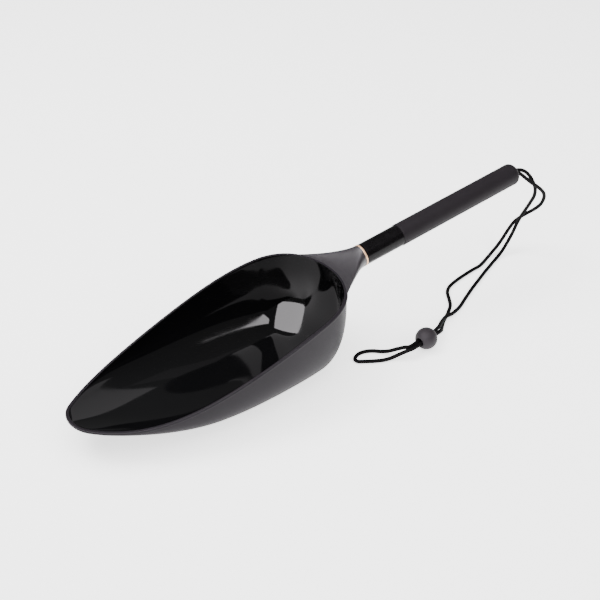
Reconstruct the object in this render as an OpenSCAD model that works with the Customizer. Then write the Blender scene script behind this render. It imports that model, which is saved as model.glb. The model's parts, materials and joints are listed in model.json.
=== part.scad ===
// Hand scoop: a moulded boat-shaped bowl whose neck carries a screw-on
// round handle with a wrist lanyard. Millimetres, +X from the bowl's tip
// to the handle, +Z up, the bowl standing on z = 0.

/* [Bowl] */
// Length of the bowl along its rim, tip to back
bowl_l = 283.9; // [250:1:320]
// Radius of the rounded tip
tip_r = 30; // [24:1:36]
// Radius of the rounded back
back_r = 75; // [68:1:84]
// Radius of each long side, before the sides are pulled in
side_r = 220; // [200:5:300]
// How far the sides are pulled in at mid-length, as a share of the width
side_pull = 0.17; // [0.1:0.01:0.2]
// Height of the rim at the tip
rim_tip_h = 35; // [30:1:42]
// Height of the rim at the back
rim_back_h = 81; // [70:1:92]
// Dip of the rim below a straight line at mid-length
rim_sag = 5; // [0:1:8]
// Swing of the rim's S-curve: lower towards the tip, higher at the back
rim_swing = 80; // [0:5:90]
// Drop from the rim to the hull at the very tip
tip_depth = 4; // [3.5:0.5:6]
// Share of the length over which the hull rises to the tip
rise_share = 0.57; // [0.5:0.01:0.65]
// Length over which the back wall rounds down into the bottom
back_round = 50; // [40:1:56]
// Section squareness at the tip (2 is an ellipse)
tip_square = 1.3; // [1.2:0.1:2]
// Section squareness at the back
back_square = 3.2; // [2.6:0.1:3.6]
// Thickness of the bowl's floor and walls
wall = 2.4; // [2:0.2:3]
// How far the rim stands out beyond the wall
lip_out = 1; // [0.8:0.1:1.4]

/* [Neck] */
// Angle that the handle rises by, degrees
rise = 7.6; // [5:0.1:9]
// Gap from the bowl's back edge to the middle of the trim ring
neck_l = 32.3; // [30:0.5:40]
// Height of the handle's axis at the trim ring
ring_h = 83.9; // [80:0.5:90]
// Radius of the neck where the handle meets it
neck_r = 11; // [10.5:0.1:11.2]
// Half angle of the bowl's back that the web springs from, degrees
web_half = 50; // [40:1:55]
// Depth of the web where it leaves the bowl's back
web_d = 20; // [16:1:26]

/* [Handle] */
// Length from the middle of the trim ring to the butt
handle_l = 200; // [170:5:240]
// Outer radius of the tube
tube_r = 11; // [10.5:0.5:12]
// Wall of the tube
tube_wall = 1; // [0.8:0.1:2]
// Thickness of the grip's sleeve
sleeve_t = 0.5; // [0.4:0.1:1]
// Length of bare tube between the ring and the grip
bare_l = 46; // [30:1:70]
// Radius of the rounded butt
butt_round = 6.5; // [5.5:0.5:6.5]
// Outer radius of the trim ring
ring_r = 11.2; // [11:0.1:12]
// Thickness of the trim ring
ring_t = 1.8; // [1.5:0.1:3]

/* [Thread] */
// Nominal thread size, major diameter
thread_d = 8; // [8:0.5:8]
// Length of stud inside the neck
stud_in = 10; // [8:1:10]
// Length of stud inside the handle's insert
stud_out = 10; // [8:1:12]

/* [Lanyard] */
// Cord diameter
cord_d = 4; // [3.4:0.1:4]
// Bead diameter
bead_d = 22; // [22:1:22]
// Radius of the bore that both strands share
bead_bore_r = 4.3; // [4.2:0.1:5]

/* [Hidden] */
$fn = 96;

gap = 0.05;             // air between the ring and its neighbours
run_fit = 0.05;         // radial clearance of the thread
insert_l = 18;          // length of the nylon insert
cord_hole_r = 4.4;      // hole in the butt for both strands
chamber_r = 7.2;        // room for the knot inside the butt plug
plug_in = 18;           // length of the butt plug inside the tube
stations = 50;          // cross-sections along the bowl
facets = 28;            // points round half a cross-section
skin = 0.15;            // end sections stand this far inside each end
land = 0.6;             // shaved off the keel, so that the bowl stands flat

butt_in = handle_l - butt_round;
total_l = bowl_l + neck_l + butt_in * cos(rise)
        + (tube_r + sleeve_t - butt_round) * sin(rise) + butt_round;
tip_x = -total_l / 2;
ring_x = tip_x + bowl_l + neck_l;

// The doubled cord, from the knot out of the butt, down to the ground,
// through the bead, round the wrist loop and back the same way
route = [
    [245, 2.1, 108.8], [257, 2.1, 110.4], [263.5, 1.4, 110.4], [270, -0.6, 108],
    [275.5, -3.2, 102.6], [279.9, -5.8, 94.6], [283.4, -7.3, 85.1], [284.9, -5.9, 75.1],
    [284.9, -1.9, 65.2], [283.4, 2.5, 54.2], [282.3, 7, 43.7], [280.3, 10, 33.3],
    [276.4, 11.2, 21.8], [268.9, 10.5, 11.9], [260.4, 8.5, 5.4], [250.9, 5.5, 2.5],
    [240.9, 1.5, 2], [231, -3, 2.1], [220, -8, 2.1], [210, -12.8, 2.2],
    [200, -17.6, 2.2], [190, -22.5, 2.3], [180.5, -27.5, 2.3], [171.1, -32.5, 2.4],
    [163.1, -37, 2.4], [155.1, -41, 2.5], [142.6, -45.4, 3.6], [134.1, -47.4, 5.5],
    [127.6, -49.8, 6.3], [120.5, -54.2, 8.1], [113.5, -59.4, 9.9], [107.4, -62.7, 10.9],
    [101.6, -64.6, 11], [90.3, -66.2, 11], [79.1, -67.8, 11], [67.9, -69.4, 11],
    [63.2, -66.7, 10.5], [58, -62.4, 8.2], [52.5, -57.2, 4.8], [47.5, -51.5, 2.5],
    [42, -45.8, 2], [35.5, -41.9, 2], [28, -40.6, 2], [22, -42.5, 2],
    [18.8, -46, 2], [20, -50.1, 2], [25.5, -53.9, 2], [33.3, -58.6, 2],
    [41.5, -62.5, 2], [49.5, -65.4, 3.3], [57, -68.5, 6.5], [62.8, -71.9, 9.7],
    [68.5, -73.5, 11], [79.7, -71.9, 11], [91, -70.4, 11], [102.2, -68.8, 11],
    [108.1, -66.8, 9.8], [113.5, -62.7, 6.8], [120.5, -55.8, 3.3], [128.9, -48.5, 2],
    [141.4, -40.3, 2], [151.4, -32.1, 2], [157.4, -23.3, 2], [161, -17.1, 2],
    [165, -11.5, 2], [171.5, -6.5, 2], [181.5, -2.7, 2], [196, 0.6, 2],
    [212, 3.3, 2], [226, 5.2, 2], [243.6, 12.5, 2], [260.1, 17, 7],
    [268.6, 17.8, 13.9], [275.6, 17.3, 23.4], [281.1, 15.1, 32.8], [285.2, 10.5, 39.8],
    [288.1, 4, 47.2], [291.6, -3, 54.7], [293.8, -8.8, 63.2], [293.6, -12.1, 73.1],
    [289.6, -13.2, 81.6], [281.6, -11.8, 90.1], [274, -9.8, 96.6], [267.5, -6.9, 103],
    [262.5, -3.6, 108], [257, -2.1, 110.2], [245, -2.1, 108.8]
];
bead_at = [89, -68.5, bead_d / 2];
bead_turn = 8;          // the bore's heading from the X axis, degrees

function mix(a, b, t) = a + (b - a) * t;
function ease(t) = t * t * (3 - 2 * t);
function unit(v) = v / norm(v);
function cap01(t) = min(1, max(0, t));

// ---- the rim's outline: tip arc, side arc and back arc, tangent to each other
tip_c = tip_r;
back_c = bowl_l - back_r;
arc_a = side_r - tip_r;
arc_b = side_r - back_r;
arc_d = back_c - tip_c;
side_cx = tip_c + (arc_a * arc_a - arc_b * arc_b + arc_d * arc_d) / (2 * arc_d);
side_cy = -sqrt(arc_a * arc_a - pow(side_cx - tip_c, 2));
tip_slope = (tip_c - side_cx) / arc_a;
back_slope = (back_c - side_cx) / arc_b;

function pull(x) = 1 - side_pull * sin(180 * x / bowl_l);
function half_w(x, d) = pull(x) * (
    x < tip_c + (tip_r - d) * tip_slope ? sqrt(max(0, pow(tip_r - d, 2) - pow(x - tip_c, 2))) :
    x < back_c + (back_r - d) * back_slope ? side_cy + sqrt(pow(side_r - d, 2) - pow(x - side_cx, 2)) :
    sqrt(max(0, pow(back_r - d, 2) - pow(x - back_c, 2))));

// ---- the rim's height, the keel's height and a cross-section's squareness
function rim_z(x) = let (u = x / bowl_l)
    mix(rim_tip_h, rim_back_h, u) - rim_sag * 4 * u * (1 - u)
    + rim_swing * u * (1 - u) * (2 * u - 1);
function keel_z(x) = (rim_tip_h - tip_depth) * pow(max(0, 1 - x / bowl_l / rise_share), 1.9);
function square_n(x) = mix(tip_square, back_square, ease(cap01(x / bowl_l / 0.43)));
function back_drop(x, d) = sqrt(1 - pow(cap01((x - bowl_l + back_round) / (back_round - d)), 2));

// One station: half a turn from the +Y rim under the keel to the -Y rim
function station_x(i, d) = d + skin + (bowl_l - 2 * d - 2 * skin) * (1 - cos(180 * i / stations)) / 2;
function section(i, d, down, floor_z) = let (
        x = station_x(i, d), w = half_w(x, d), top = rim_z(x) - down,
        depth = (top - keel_z(x) - floor_z) * back_drop(x, d), n = square_n(x))
    [for (j = [0:facets]) let (
        a = 180 * j / facets, c = abs(cos(a)), s = abs(sin(a)),
        k = pow(pow(c, n) + pow(s, n), -1 / n))
        [tip_x + x, (a > 90 ? -1 : 1) * w * c * k, max(0, top - depth * s * k)]];
// A row of points round the rim: +Y side tip to back, then -Y side back to tip
function rim_row(d, down) = concat(
    [for (i = [0:stations]) let (x = station_x(i, d)) [tip_x + x, half_w(x, d), rim_z(x) - down]],
    [for (i = [stations:-1:0]) let (x = station_x(i, d)) [tip_x + x, -half_w(x, d), rim_z(x) - down]]);

// Faces over a grid of open rows
function sheet(start, rows, cols, flip) = [for (i = [0:rows - 2], j = [0:cols - 2]) let (
        p = start + i * cols + j, q = [p, p + 1, p + cols + 1, p + cols])
    flip ? [q[3], q[2], q[1], q[0]] : q];

module shell() {
    cols = facets + 1;
    rows = stations + 1;
    outer = [for (i = [0:stations]) each section(i, lip_out, 3, -land)];
    inner = [for (i = [0:stations]) each section(i, lip_out + wall, 0, wall)];
    lip = [rim_row(0.9, 0), rim_row(0.25, 0.5), rim_row(0, 1.4), rim_row(0, 2.2)];
    n = 2 * rows;
    in0 = rows * cols;
    lip0 = 2 * rows * cols;
    // Index of rim point k on a grid that starts at s
    rim_at = function(s, k) k < rows ? s + k * cols : s + (n - 1 - k) * cols + facets;
    joint = function(s, r) [for (k = [0:n - 1]) let (m = (k + 1) % n) [r(k), r(m), s(m), s(k)]];
    row_at = function(r) function(k) lip0 + r * n + k;
    on_outer = function(k) rim_at(0, k);
    on_inner = function(k) rim_at(in0, k);
    faces = concat(
        sheet(0, rows, cols, false), sheet(in0, rows, cols, true),
        [[for (j = [facets:-1:0]) j]], [[for (j = [0:facets]) in0 - cols + j]],
        [[for (j = [0:facets]) in0 + j]], [[for (j = [facets:-1:0]) lip0 - cols + j]],
        joint(on_inner, row_at(0)), joint(row_at(0), row_at(1)), joint(row_at(1), row_at(2)),
        joint(row_at(2), row_at(3)), joint(row_at(3), on_outer));
    polyhedron(concat(outer, inner, lip[0], lip[1], lip[2], lip[3]), faces, convexity = 6);
}

// The web and neck: rulings from the bowl's back wall to a circle at the ring
web_steps = 14;
web_round = 40;
web_climb = 1.6;        // how late the web's top climbs to the neck
web_curl = 1.2;         // how much sooner its underside does
web_waist = 1.2;        // how soon its edges draw in, seen from above
web_tuck = 0.8;         // how much sooner the underside does
axis_up = [-sin(rise), 0, cos(rise)];
axis_dir = [cos(rise), 0, sin(rise)];
neck_end = [ring_x, 0, ring_h] - axis_dir * (ring_t / 2 + gap);
function web_root(a) = let (
        drop = max(0, -sin(a)) * web_d, turn = web_half * cos(a),
        r = back_r - lip_out - wall / 2 - back_round * (1 - sqrt(1 - pow(drop / rim_back_h, 2))),
        x = back_c + r * cos(turn))
    [tip_x + x, r * sin(turn) * pull(x), rim_z(x) - 0.3 - drop];
function web_tip(a) = neck_end + neck_r * (cos(a) * [0, 1, 0] + sin(a) * axis_up);
function web_point(a, t) = let (
        p = web_root(a), q = web_tip(a), under = max(0, -sin(a)),
        lift = pow(t, web_climb - web_curl * sqrt(under)),
        draw = 1 - pow(1 - t, web_waist + web_tuck * under))
    [mix(p.x, q.x, t), mix(p.y, q.y, draw), mix(p.z, q.z, lift)];

module neck() {
    pts = [for (i = [0:web_steps], k = [0:web_round - 1])
        web_point(360 * k / web_round, pow(i / web_steps, 1.5))];
    half = web_round / 2;
    // The root's cap runs in strips from the top row to the bottom row
    root = [for (k = [0:half - 1]) let (m = (web_round - k) % web_round)
        k == 0 ? [k, k + 1, m - 1 + web_round] : k == half - 1 ? [k, k + 1, m] : [k, k + 1, m - 1, m]];
    cap = [for (f = root) [for (v = f) v >= web_round ? v - web_round : v]];
    sides = [for (i = [0:web_steps - 1], k = [0:web_round - 1]) let (
            m = (k + 1) % web_round, a = i * web_round)
        [a + k, a + web_round + k, a + web_round + m, a + m]];
    last = web_steps * web_round;
    polyhedron(pts, concat(cap, sides, [[for (k = [web_round - 1:-1:0]) last + k]]), convexity = 4);
}

// Turns a child so that its Z axis runs along the handle, from the ring's middle
module on_axis() {
    translate([ring_x, 0, ring_h]) rotate([0, 90 - rise, 0]) children();
}

// A straight round piece from z = a to z = b, with broken edges
module barrel(r, a, b, edge = 0.3) {
    rotate_extrude() polygon([[0, a], [r - edge, a], [r, a + edge], [r, b - edge], [r - edge, b], [0, b]]);
}

module scoop_bowl() {
    color("#2b292c") difference() {
        union() {
            shell();
            neck();
        }
        on_axis() translate([0, 0, -ring_t / 2 - stud_in])
            cylinder(r = thread_d / 2 - run_fit, h = stud_in + 1);
    }
}

module thread_stud() {
    color("silver") on_axis()
        barrel(thread_d / 2 - run_fit, -ring_t / 2 - stud_in, ring_t / 2 + gap + stud_out, 0.8);
}

module trim_ring() {
    color("#d8a878") on_axis() difference() {
        barrel(ring_r, -ring_t / 2, ring_t / 2, 0.2);
        translate([0, 0, -ring_t]) cylinder(r = thread_d / 2 + 1.2, h = 2 * ring_t);
    }
}

module handle_insert() {
    start = ring_t / 2 + gap;
    color("#2a292b") on_axis() difference() {
        translate([0, 0, start]) cylinder(r = tube_r - tube_wall, h = insert_l);
        translate([0, 0, start - 1]) cylinder(r = thread_d / 2, h = stud_out + 3);
    }
}

module handle_tube() {
    start = ring_t / 2 + gap;
    stop = butt_in - sleeve_t - 6;
    color("#131113") on_axis() difference() {
        barrel(tube_r, start, stop);
        translate([0, 0, start - 1]) cylinder(r = tube_r - tube_wall, h = stop + 1);
    }
}

// Half profile of a round-ended bar of radius r whose end is at z
module butt_profile(r, from, z, round_r) {
    polygon(concat([[0, from], [r, from]],
        [for (a = [0:6:90]) [r - round_r + round_r * cos(a), z - round_r + round_r * sin(a)]],
        [[0, z]]));
}

module grip_sleeve() {
    r = tube_r + sleeve_t;
    color("#39353a") on_axis() rotate_extrude() difference() {
        butt_profile(r, bare_l, handle_l, butt_round);
        translate([0, -1]) butt_profile(tube_r, bare_l, handle_l - sleeve_t + 1, butt_round - sleeve_t);
        square([cord_hole_r + 0.3, handle_l + 1]);
    }
}

module butt_plug() {
    from = butt_in - sleeve_t - 6;
    color("#201e20") on_axis() rotate_extrude() difference() {
        union() {
            butt_profile(tube_r, from, handle_l - sleeve_t, butt_round - sleeve_t);
            translate([0, from - plug_in]) square([tube_r - tube_wall, plug_in + 1]);
        }
        square([cord_hole_r, handle_l + 1]);
        square([chamber_r, handle_l - 10]);
    }
}

module cord_knot() {
    color("#1c1a1c") on_axis() translate([0, 0, handle_l - 15.5]) rotate_extrude()
        intersection() {
            scale(5) circle(1.2);
            translate([0, -5]) square([7, 10]);
        }
}

// Frames carried along the route without twist
tube_sides = 8;
function tangent(i) = unit(route[min(i + 1, len(route) - 1)] - route[max(i - 1, 0)]);
function carried(n, i) = let (t = tangent(i)) unit(n - (n * t) * t);
normals = [for (i = 0, n = carried([0, 0, 1], 0); i < len(route); i = i + 1,
    n = carried(n, min(i, len(route) - 1))) n];

module lanyard_cord() {
    last = (len(route) - 1) * tube_sides;
    pts = [for (i = [0:len(route) - 1]) let (n = normals[i], b = cross(tangent(i), n))
        for (k = [0:tube_sides - 1]) let (a = 360 * k / tube_sides)
            route[i] + cord_d / 2 * (cos(a) * n + sin(a) * b)];
    faces = concat([[for (k = [0:tube_sides - 1]) k]],
        [for (i = [0:len(route) - 2], k = [0:tube_sides - 1]) let (
                m = (k + 1) % tube_sides, a = i * tube_sides)
            [a + k, a + tube_sides + k, a + tube_sides + m, a + m]],
        [[for (k = [tube_sides - 1:-1:0]) last + k]]);
    color("#232124") polyhedron(pts, faces, convexity = 10);
}

module cord_bead() {
    color("#4a434a") translate(bead_at) rotate([0, 0, bead_turn]) rotate([0, 90, 0])
        difference() {
            sphere(d = bead_d);
            cylinder(r = bead_bore_r, h = bead_d + 2, center = true);
        }
}

scoop_bowl();
thread_stud();
trim_ring();
handle_insert();
handle_tube();
grip_sleeve();
butt_plug();
cord_knot();
lanyard_cord();
cord_bead();
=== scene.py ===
"""Hand scoop: the looks of its pieces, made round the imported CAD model.

All lengths are in metres, in the CAD model's own frame: +X from the bowl's
tip to the handle's butt, +Z up, and the bowl standing on z = 0.
"""

import json
import math

import bmesh
import bpy
from bpy.props import FloatProperty, FloatVectorProperty, IntProperty, PointerProperty
from mathutils import Matrix, Vector


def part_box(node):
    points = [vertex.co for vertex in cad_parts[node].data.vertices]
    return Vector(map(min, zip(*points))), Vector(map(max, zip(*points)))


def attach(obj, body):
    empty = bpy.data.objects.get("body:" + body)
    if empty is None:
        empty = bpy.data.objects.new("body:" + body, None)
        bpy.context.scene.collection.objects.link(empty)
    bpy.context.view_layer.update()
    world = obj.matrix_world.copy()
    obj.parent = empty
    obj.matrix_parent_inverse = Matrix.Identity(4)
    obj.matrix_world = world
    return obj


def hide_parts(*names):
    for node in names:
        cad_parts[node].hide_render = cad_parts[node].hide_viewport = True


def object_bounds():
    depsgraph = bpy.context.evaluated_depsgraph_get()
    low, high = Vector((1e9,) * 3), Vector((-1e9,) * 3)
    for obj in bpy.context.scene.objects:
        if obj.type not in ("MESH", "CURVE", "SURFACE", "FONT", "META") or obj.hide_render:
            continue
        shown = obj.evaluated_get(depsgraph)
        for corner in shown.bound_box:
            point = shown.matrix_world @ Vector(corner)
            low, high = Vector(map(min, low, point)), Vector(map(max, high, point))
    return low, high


bl_info = {
    "name": "Hand Scoop",
    "version": (1, 0, 0),
    "blender": (4, 5, 0),
    "location": "View3D > Sidebar > Scoop",
    "description": "Builds a moulded hand scoop with a screw-on handle and a wrist lanyard",
    "category": "Add Mesh",
}

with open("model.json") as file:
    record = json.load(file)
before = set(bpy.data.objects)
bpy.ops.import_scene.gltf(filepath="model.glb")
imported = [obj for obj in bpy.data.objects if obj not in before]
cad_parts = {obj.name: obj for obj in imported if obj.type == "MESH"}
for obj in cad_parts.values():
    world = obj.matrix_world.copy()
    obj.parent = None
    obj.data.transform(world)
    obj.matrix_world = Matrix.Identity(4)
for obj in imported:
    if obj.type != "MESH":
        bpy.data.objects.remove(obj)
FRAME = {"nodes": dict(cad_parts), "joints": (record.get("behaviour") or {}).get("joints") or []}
CAD_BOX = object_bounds()
JOINTS = {joint["name"]: joint for joint in FRAME["joints"]}

MM = 0.001
TURN = 2 * math.pi  # a whole turn, in radians
AIR = 0.05 * MM  # gap between the ring and its neighbours
MERGE = 0.002 * MM  # points closer than this are one
ABS_IOR = 1.53
RING = Vector(JOINTS["handle_turn"]["pos_m"])  # middle of the trim ring
AXIS = Vector(JOINTS["handle_turn"]["axis"]).normalized()  # runs up the handle
ALONG = AXIS.to_track_quat("Z", "Y").to_matrix().to_4x4()
ON_AXIS = Matrix.Translation(RING) @ ALONG  # local Z runs up the handle
TIP_X = CAD_BOX[0].x - 0.15 * MM  # the rim's first section stands 0.15 mm inside the tip

# The lanyard's route: out of the butt, down to the ground, through the bead,
# round the wrist loop and back the same way (millimetres)
ROUTE = [
    (245, 2.1, 108.8), (257, 2.1, 110.4), (263.5, 1.4, 110.4), (270, -0.6, 108),
    (275.5, -3.2, 102.6), (279.9, -5.8, 94.6), (283.4, -7.3, 85.1), (284.9, -5.9, 75.1),
    (284.9, -1.9, 65.2), (283.4, 2.5, 54.2), (282.3, 7, 43.7), (280.3, 10, 33.3),
    (276.4, 11.2, 21.8), (268.9, 10.5, 11.9), (260.4, 8.5, 5.4), (250.9, 5.5, 2.5),
    (240.9, 1.5, 2), (231, -3, 2.1), (220, -8, 2.1), (210, -12.8, 2.2),
    (200, -17.6, 2.2), (190, -22.5, 2.3), (180.5, -27.5, 2.3), (171.1, -32.5, 2.4),
    (163.1, -37, 2.4), (155.1, -41, 2.5), (142.6, -45.4, 3.6), (134.1, -47.4, 5.5),
    (127.6, -49.8, 6.3), (120.5, -54.2, 8.1), (113.5, -59.4, 9.9), (107.4, -62.7, 10.9),
    (101.6, -64.6, 11), (90.3, -66.2, 11), (79.1, -67.8, 11), (67.9, -69.4, 11),
    (63.2, -66.7, 10.5), (58, -62.4, 8.2), (52.5, -57.2, 4.8), (47.5, -51.5, 2.5),
    (42, -45.8, 2), (35.5, -41.9, 2), (28, -40.6, 2), (22, -42.5, 2),
    (18.8, -46, 2), (20, -50.1, 2), (25.5, -53.9, 2), (33.3, -58.6, 2),
    (41.5, -62.5, 2), (49.5, -65.4, 3.3), (57, -68.5, 6.5), (62.8, -71.9, 9.7),
    (68.5, -73.5, 11), (79.7, -71.9, 11), (91, -70.4, 11), (102.2, -68.8, 11),
    (108.1, -66.8, 9.8), (113.5, -62.7, 6.8), (120.5, -55.8, 3.3), (128.9, -48.5, 2),
    (141.4, -40.3, 2), (151.4, -32.1, 2), (157.4, -23.3, 2), (161, -17.1, 2),
    (165, -11.5, 2), (171.5, -6.5, 2), (181.5, -2.7, 2), (196, 0.6, 2),
    (212, 3.3, 2), (226, 5.2, 2), (243.6, 12.5, 2), (260.1, 17, 7),
    (268.6, 17.8, 13.9), (275.6, 17.3, 23.4), (281.1, 15.1, 32.8), (285.2, 10.5, 39.8),
    (288.1, 4, 47.2), (291.6, -3, 54.7), (293.8, -8.8, 63.2), (293.6, -12.1, 73.1),
    (289.6, -13.2, 81.6), (281.6, -11.8, 90.1), (274, -9.8, 96.6), (267.5, -6.9, 103),
    (262.5, -3.6, 108), (257, -2.1, 110.2), (245, -2.1, 108.8),
]


def linear(code):
    """An sRGB hex colour as linear red, green and blue."""
    parts = [int(code[i : i + 2], 16) / 255 for i in (1, 3, 5)]
    return tuple(c / 12.92 if c <= 0.04045 else ((c + 0.055) / 1.055) ** 2.4 for c in parts)


def length(name, default, description):
    """A length in metres, given in millimetres."""
    return FloatProperty(
        name=name, description=description, default=default * MM, min=0, unit="LENGTH", precision=5
    )


def plain(name, default, description):
    """A bare number."""
    return FloatProperty(name=name, description=description, default=default)


def count(name, default, description):
    """A whole number."""
    return IntProperty(name=name, description=description, default=default, min=3)


def colour(name, default, description):
    """A colour, given as an sRGB hex value."""
    return FloatVectorProperty(
        name=name, description=description, default=linear(default), subtype="COLOR", min=0, max=1
    )


class ScoopBowlSizes(bpy.types.PropertyGroup):
    """Sizes of the moulded bowl and its neck."""

    bowl_l: length("Bowl length", 283.9, "Length of the bowl along its rim, tip to back")
    tip_r: length("Tip radius", 30, "Radius of the rounded tip, seen from above")
    back_r: length("Back radius", 75, "Radius of the rounded back, seen from above")
    side_r: length("Side radius", 220, "Radius of each long side, seen from above")
    side_pull: plain("Side pull", 0.17, "How far the sides are pulled in at mid-length")
    rim_tip_h: length("Rim at tip", 35, "Height of the rim at the tip")
    rim_back_h: length("Rim at back", 81, "Height of the rim at the back")
    rim_sag: length("Rim sag", 5, "Dip of the rim below a straight line at mid-length")
    rim_swing: length("Rim swing", 80, "Swing of the rim's S-curve")
    tip_depth: length("Tip depth", 4, "Drop from the rim to the hull at the very tip")
    rise_share: plain("Rise share", 0.57, "Share of the length over which the hull rises")
    back_round: length("Back rounding", 50, "Length over which the back rounds down")
    tip_square: plain("Tip squareness", 1.3, "Section squareness at the tip, 2 is an ellipse")
    back_square: plain("Back squareness", 3.2, "Section squareness at the back")
    wall: length("Wall", 2.4, "Thickness of the bowl's floor and walls")
    lip_out: length("Lip overhang", 1, "How far the rim stands out beyond the wall")
    land: length("Land", 0.6, "Shaved off the keel, so that the bowl stands flat")
    neck_r: length("Neck radius", 11, "Radius of the neck at the trim ring")
    web_half: FloatProperty(
        name="Web half angle",
        description="Half angle of the back that the web springs from",
        default=math.radians(50),
        subtype="ANGLE",
    )
    web_d: length("Web depth", 20, "Depth of the web where it leaves the bowl's back")
    stations: count("Stations", 150, "Cross-sections along the bowl")
    facets: count("Facets", 72, "Faces round each cross-section")


class ScoopHandleSizes(bpy.types.PropertyGroup):
    """Sizes of the handle, its ring and its thread."""

    handle_l: length("Handle length", 200, "Trim ring's middle to the butt")
    tube_r: length("Tube radius", 11, "Outer radius of the tube")
    tube_wall: length("Tube wall", 1, "Wall of the tube")
    sleeve_t: length("Sleeve", 0.5, "Thickness of the grip's sleeve")
    bare_l: length("Bare tube", 46, "Bare tube between the ring and the grip")
    butt_round: length("Butt rounding", 6.5, "Radius of the rounded butt")
    ring_r: length("Ring radius", 11.2, "Outer radius of the trim ring")
    ring_t: length("Ring width", 1.8, "Length of the trim ring along the handle")
    thread_r: length("Thread radius", 3.95, "Radius over the stud's crests")
    root_r: length("Root radius", 3.2, "Radius at the bottom of the stud's thread")
    pitch: length("Thread pitch", 1.25, "Distance from crest to crest")
    stud_in: length("Stud in neck", 10, "Length of stud inside the neck")
    stud_out: length("Stud in handle", 10, "Length of stud inside the handle")
    hole_r: length("Cord hole", 4.4, "Radius of the hole in the butt for both strands")


class ScoopLanyardSizes(bpy.types.PropertyGroup):
    """Sizes of the lanyard."""

    cord_d: length("Cord diameter", 4, "Diameter of the braided cord")
    cord_l: length("Cord length", 860, "Length of the cord from end to end")
    braid_lead: length("Braid lead", 11, "Length in which a strand goes once round the cord")
    strands: count("Strands", 4, "Strands that wind each way")
    groove: length("Groove", 0.12, "Depth of the grooves between the strands")
    bead_d: length("Bead diameter", 22, "Diameter of the bead")
    bore_r: length("Bead bore", 4.3, "Radius of the bore that both strands share")
    bead_turn: FloatProperty(
        name="Bead heading",
        description="Heading of the bead's bore from the X axis",
        default=math.radians(8),
        subtype="ANGLE",
    )


class ScoopColours(bpy.types.PropertyGroup):
    """Colours of the pieces."""

    inside: colour("Bowl inside", "#080809", "Gloss black of the bowl's inside")
    outside: colour("Bowl outside", "#1b181c", "Satin charcoal of the bowl's outside")
    ring: colour("Trim ring", "#f2c49c", "Copper of the trim ring")
    tube: colour("Tube", "#080708", "Lacquered tube")
    grip: colour("Grip", "#191619", "Rubber of the grip")
    plug: colour("Butt plug", "#0c0b0c", "Moulded plug in the butt")
    cord: colour("Cord", "#070607", "Braided cord")
    bead: colour("Bead", "#211d21", "Matt grey bead")
    steel: colour("Stud", "#b9bcc0", "Zinc-plated steel of the stud")
    floor: colour("Floor", "#ffffff", "Studio floor")


class ScoopSettings(bpy.types.PropertyGroup):
    """Everything that can be set on the scoop."""

    bowl: PointerProperty(type=ScoopBowlSizes)
    handle: PointerProperty(type=ScoopHandleSizes)
    lanyard: PointerProperty(type=ScoopLanyardSizes)
    colours: PointerProperty(type=ScoopColours)


def settings():
    """The scene's scoop settings."""
    return bpy.context.scene.hand_scoop


# ---- node trees


def put(tree, kind, inputs=None, **facts):
    """Adds a node. facts are its attributes, and inputs its sockets' values or what feeds them."""
    node = tree.nodes.new(kind)
    for name, value in facts.items():
        setattr(node, name, value)
    for key, value in (inputs or {}).items():
        if isinstance(value, bpy.types.NodeSocket):
            tree.links.new(value, node.inputs[key])
        else:
            node.inputs[key].default_value = value
    return node


def sums(tree, operation, *values):
    """The result of one Math node."""
    return put(tree, "ShaderNodeMath", dict(enumerate(values)), operation=operation).outputs[0]


def per(millimetres):
    """The texture scale at which one feature is that many millimetres wide."""
    return 1000 / millimetres


# ---- materials


def finish(name, sockets):
    """A material with one Principled shader. Returns the material, its tree and the shader."""
    material = bpy.data.materials.new(name)
    material.use_nodes = True
    tree = material.node_tree
    tree.nodes.clear()
    shader = put(tree, "ShaderNodeBsdfPrincipled", sockets)
    put(tree, "ShaderNodeOutputMaterial", {"Surface": shader.outputs[0]})
    return material, tree, shader


def grain(tree, where, width_mm, detail=2.0, roughness=0.5):
    """Noise whose features are that wide."""
    inputs = {"Vector": where, "Scale": per(width_mm), "Detail": detail, "Roughness": roughness}
    return put(tree, "ShaderNodeTexNoise", inputs).outputs["Fac"]


def remap(tree, value, low, high, start=0.3, stop=0.7):
    """value from start..stop becomes low..high."""
    inputs = {"Value": value, "From Min": start, "From Max": stop, "To Min": low, "To Max": high}
    return put(tree, "ShaderNodeMapRange", inputs).outputs[0]


def tint(rgb, factor):
    """A colour made lighter or darker."""
    return tuple(min(1, c * factor) for c in rgb)


def shades(tree, value, base, dark, light):
    """A colour between a darker and a lighter tint of base, by a value from 0 to 1."""
    inputs = {0: value, 6: (*tint(base, dark), 1), 7: (*tint(base, light), 1)}
    return put(tree, "ShaderNodeMix", inputs, data_type="RGBA").outputs[2]


def relief(tree, height, depth_mm):
    """A bump of that depth from a height of 0 to 1."""
    inputs = {"Height": height, "Distance": depth_mm * MM, "Strength": 1.0}
    return put(tree, "ShaderNodeBump", inputs).outputs[0]


def place(tree):
    """The object's own coordinates."""
    return put(tree, "ShaderNodeTexCoord").outputs["Object"]


def place_on_handle(tree):
    """The object's coordinates, turned so that Z runs up the handle from the ring."""
    inputs = {"Vector": place(tree), "Location": RING, "Rotation": ALONG.to_euler()}
    return put(tree, "ShaderNodeMapping", inputs, vector_type="TEXTURE").outputs[0]


def bands(tree, where, width_mm, distortion):
    """Fine rings round Z, that far apart."""
    inputs = {"Vector": where, "Scale": per(width_mm) / TURN, "Distortion": distortion}
    return put(tree, "ShaderNodeTexWave", inputs, bands_direction="Z").outputs["Fac"]


def dress(tree, shader, colour, roughness, normal):
    """Links what feeds a shader's colour, roughness and normal."""
    for socket, feed in {"Base Color": colour, "Roughness": roughness, "Normal": normal}.items():
        tree.links.new(feed, shader.inputs[socket])


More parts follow.
